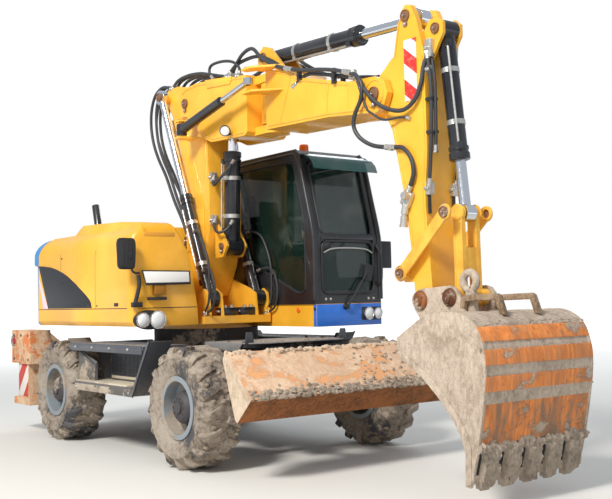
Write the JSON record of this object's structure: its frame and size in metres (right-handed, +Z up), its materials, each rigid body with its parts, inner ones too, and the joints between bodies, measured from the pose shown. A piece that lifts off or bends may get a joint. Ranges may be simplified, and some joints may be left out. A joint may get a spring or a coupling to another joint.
{
  "type": "wheeled excavator",
  "caption": "Wheeled excavator with a two piece boom, a sideways swinging front boom, a toothed bucket, a dozer blade, rear stabilisers and a glazed cab.",
  "frame": {"origin": "on the ground under the middle of the machine's length and width, arm as parked", "axes": "+X forward over the blade and bucket, +Y to the operator's left, +Z up"},
  "size_m": [7.024, 2.88, 3.9698],
  "materials": {
    "yellow_paint": "worn gloss",
    "black_paint": "satin",
    "muddy_steel": "matt, caked with mud",
    "rusty_steel": "matt rust and mud",
    "dark_steel": "dusty satin",
    "chrome_rod": "polished",
    "tyre_rubber": "caked with mud",
    "cast_block": "matt",
    "cab_glass": "clear, slightly green",
    "trim_plastic": "matt",
    "lamp_lens": "clear lens"
  },
  "bodies": {
    "chassis": {"chassis_frame": "muddy_steel", "front_axle": "muddy_steel", "rear_axle": "muddy_steel", "side_steps": "dark_steel"},
    "steering_right": {"knuckle_right": "muddy_steel"},
    "steering_left": {"knuckle_left": "muddy_steel"},
    "wheel_front_right": {"tyre_front_right": "tyre_rubber", "rim_front_right": "muddy_steel"},
    "wheel_front_left": {"tyre_front_left": "tyre_rubber", "rim_front_left": "muddy_steel"},
    "wheel_rear_right": {"tyre_rear_right": "tyre_rubber", "rim_rear_right": "muddy_steel"},
    "wheel_rear_left": {"tyre_rear_left": "tyre_rubber", "rim_rear_left": "muddy_steel"},
    "dozer_blade": {"blade": "rusty_steel", "blade_arms": "rusty_steel"},
    "blade_ram": {"blade_barrels": "black_paint"},
    "blade_ram_rod": {"blade_rods": "chrome_rod"},
    "stabiliser_right": {"stabiliser_right": "rusty_steel"},
    "stabiliser_left": {"stabiliser_left": "rusty_steel"},
    "upper_body": {"platform": "yellow_paint", "side_box": "yellow_paint", "rear_hood": "yellow_paint", "counterweight": "yellow_paint", "engine_block": "cast_block", "exhaust": "black_paint", "cab_frame": "black_paint", "cab_glass": "cab_glass", "cab_interior": "trim_plastic", "lamps": "lamp_lens", "mirrors": "trim_plastic"},
    "door": {"cab_door": "black_paint", "door_glass": "cab_glass"},
    "lower_boom": {"lower_boom": "yellow_paint"},
    "boom_ram": {"boom_barrels": "black_paint"},
    "boom_ram_rod": {"boom_rods": "chrome_rod"},
    "adjust_ram": {"adjust_barrel": "black_paint"},
    "adjust_ram_rod": {"adjust_rod": "chrome_rod"},
    "upper_boom": {"upper_boom": "yellow_paint"},
    "swing_ram": {"swing_barrel": "black_paint"},
    "swing_ram_rod": {"swing_rod": "chrome_rod"},
    "front_boom": {"front_boom": "yellow_paint"},
    "stick_ram": {"stick_barrel": "black_paint"},
    "stick_ram_rod": {"stick_rod": "chrome_rod"},
    "stick": {"stick": "yellow_paint"},
    "bucket_ram": {"bucket_barrel": "black_paint"},
    "bucket_ram_rod": {"bucket_rod": "chrome_rod"},
    "idler": {"idler_link": "yellow_paint"},
    "link": {"power_link": "yellow_paint"},
    "bucket": {"bucket": "rusty_steel"}
  },
  "joints": [
    {"name": "steer_right", "type": "hinge", "parent": "chassis", "child": "steering_right", "pos_m": [0.438, -0.74, 0.545], "axis": [0, 0, 1], "range_deg": [-28.5, 28.5]},
    {"name": "roll_front_right", "type": "hinge", "parent": "steering_right", "child": "wheel_front_right", "pos_m": [0.438, -1.0475, 0.545], "axis": [0, 1, 0], "continuous": true},
    {"name": "roll_rear_right", "type": "hinge", "parent": "chassis", "child": "wheel_rear_right", "pos_m": [-2.262, -1.0475, 0.545], "axis": [0, 1, 0], "continuous": true},
    {"name": "steer_left", "type": "hinge", "parent": "chassis", "child": "steering_left", "pos_m": [0.438, 0.74, 0.545], "axis": [0, 0, 1], "range_deg": [-28, 28]},
    {"name": "roll_front_left", "type": "hinge", "parent": "steering_left", "child": "wheel_front_left", "pos_m": [0.438, 1.0475, 0.545], "axis": [0, 1, 0], "continuous": true},
    {"name": "roll_rear_left", "type": "hinge", "parent": "chassis", "child": "wheel_rear_left", "pos_m": [-2.262, 1.0475, 0.545], "axis": [0, 1, 0], "continuous": true},
    {"name": "blade_lift", "type": "hinge", "parent": "chassis", "child": "dozer_blade", "pos_m": [0.788, 0, 0.62], "axis": [0, 1, 0], "range_deg": [0, 44]},
    {"name": "blade_ram_turn", "type": "hinge", "parent": "chassis", "child": "blade_ram", "pos_m": [0.718, 0, 0.96], "axis": [0, -1, 0], "range_deg": [-29.32, 1]},
    {"name": "blade_ram_stroke", "type": "slide", "parent": "blade_ram", "child": "blade_ram_rod", "axis": [0.9505, 0, -0.3107], "range_m": [-0.02, 0.2209]},
    {"name": "stabiliser_right_swing", "type": "hinge", "parent": "chassis", "child": "stabiliser_right", "pos_m": [-3.512, -0.48, 0.78], "axis": [1, 0, 0], "range_deg": [0, 35]},
    {"name": "stabiliser_left_swing", "type": "hinge", "parent": "chassis", "child": "stabiliser_left", "pos_m": [-3.512, 0.48, 0.78], "axis": [-1, 0, 0], "range_deg": [0, 35]},
    {"name": "slew", "type": "hinge", "parent": "chassis", "child": "upper_body", "pos_m": [-1.062, 0, 1.2], "axis": [0, 0, 1], "continuous": true},
    {"name": "cab_door_swing", "type": "hinge", "parent": "upper_body", "child": "door", "pos_m": [-0.762, 1.255, 2.2], "axis": [0, 0, 1], "range_deg": [0, 110]},
    {"name": "boom_lift", "type": "hinge", "parent": "upper_body", "child": "lower_boom", "pos_m": [-1.012, 0, 1.62], "axis": [0, 1, 0], "range_deg": [-3, 46]},
    {"name": "boom_ram_turn", "type": "hinge", "parent": "upper_body", "child": "boom_ram", "pos_m": [-0.492, 0, 1.51], "axis": [0, -1, 0], "range_deg": [-43.6, 3.78]},
    {"name": "boom_ram_stroke", "type": "slide", "parent": "boom_ram", "child": "boom_ram_rod", "axis": [-0.3959, 0, 0.9183], "range_m": [-0.4155, 0.0458]},
    {"name": "boom_adjust", "type": "hinge", "parent": "lower_boom", "child": "upper_boom", "pos_m": [-1.022, 0, 3.62], "axis": [0, 1, 0], "range_deg": [-55, 0]},
    {"name": "adjust_ram_turn", "type": "hinge", "parent": "lower_boom", "child": "adjust_ram", "pos_m": [-0.517, 0, 2.05], "axis": [0, -1, 0], "range_deg": [-5.89, 1]},
    {"name": "adjust_ram_stroke", "type": "slide", "parent": "adjust_ram", "child": "adjust_ram_rod", "axis": [0.0381, 0, 0.9993], "range_m": [-0.02, 0.6387]},
    {"name": "boom_swing", "type": "hinge", "parent": "upper_boom", "child": "front_boom", "pos_m": [0.318, 0, 3.4], "axis": [0, 0, 1], "range_deg": [-30, 30]},
    {"name": "swing_ram_turn", "type": "hinge", "parent": "upper_boom", "child": "swing_ram", "pos_m": [-0.832, -0.4, 3.29], "axis": [0, 0, 1], "range_deg": [-3.57, 3.57]},
    {"name": "swing_ram_stroke", "type": "slide", "parent": "swing_ram", "child": "swing_ram_rod", "axis": [0.9781, 0, 0.208], "range_m": [-0.2204, 0.2204]},
    {"name": "stick_swing", "type": "hinge", "parent": "front_boom", "child": "stick", "pos_m": [2.058, 0, 3.16], "axis": [0, -1, 0], "range_deg": [-26, 54]},
    {"name": "stick_ram_turn", "type": "hinge", "parent": "front_boom", "child": "stick_ram", "pos_m": [0.298, 0, 3.86], "axis": [0, -1, 0], "range_deg": [-2.22, 3.54]},
    {"name": "stick_ram_stroke", "type": "slide", "parent": "stick_ram", "child": "stick_ram_rod", "axis": [0.9986, 0, -0.0528], "range_m": [-0.6232, 0.3104]},
    {"name": "bucket_curl", "type": "hinge", "parent": "stick", "child": "bucket", "pos_m": [2.508, 0, 1.45], "axis": [0, -1, 0], "range_deg": [-78, 25]},
    {"name": "idler_turn", "type": "hinge", "parent": "stick", "child": "idler", "pos_m": [2.318, 0, 1.67], "axis": [0, -1, 0], "range_deg": [-45.88, 15.38]},
    {"name": "link_turn", "type": "hinge", "parent": "bucket", "child": "link", "pos_m": [2.828, 0, 1.47], "axis": [0, -1, 0], "range_deg": [-14.3, 42.51]},
    {"name": "bucket_ram_turn", "type": "hinge", "parent": "stick", "child": "bucket_ram", "pos_m": [2.658, 0, 3.59], "axis": [0, -1, 0], "range_deg": [-2.83, 6.7]},
    {"name": "bucket_ram_stroke", "type": "slide", "parent": "bucket_ram", "child": "bucket_ram_rod", "axis": [0.1082, 0, -0.9941], "range_m": [-0.1771, 0.5102]}
  ],
  "couplings": [
    {"joint": "steer_right", "follows": "steer_left", "ratio": 1},
    {"joint": "blade_ram_turn", "follows": "blade_lift", "ratio": -0.64375},
    {"joint": "blade_ram_stroke", "follows": "blade_lift", "m_per_rad": 0.26164},
    {"joint": "boom_ram_turn", "follows": "boom_lift", "ratio": -0.92604},
    {"joint": "boom_ram_stroke", "follows": "boom_lift", "m_per_rad": -0.49268},
    {"joint": "adjust_ram_turn", "follows": "boom_adjust", "ratio": 0.088963},
    {"joint": "adjust_ram_stroke", "follows": "boom_adjust", "m_per_rad": -0.64457},
    {"joint": "swing_ram_turn", "follows": "boom_swing", "ratio": 0.085672},
    {"joint": "swing_ram_stroke", "follows": "boom_swing", "m_per_rad": 0.38267},
    {"joint": "stick_ram_turn", "follows": "stick_swing", "ratio": 0.046952},
    {"joint": "stick_ram_stroke", "follows": "stick_swing", "m_per_rad": -0.64001},
    {"joint": "idler_turn", "follows": "bucket_curl", "ratio": 0.57541},
    {"joint": "link_turn", "follows": "bucket_curl", "ratio": -0.53213},
    {"joint": "bucket_ram_turn", "follows": "bucket_curl", "ratio": -0.073054},
    {"joint": "bucket_ram_stroke", "follows": "bucket_curl", "m_per_rad": -0.36011}
  ]
}
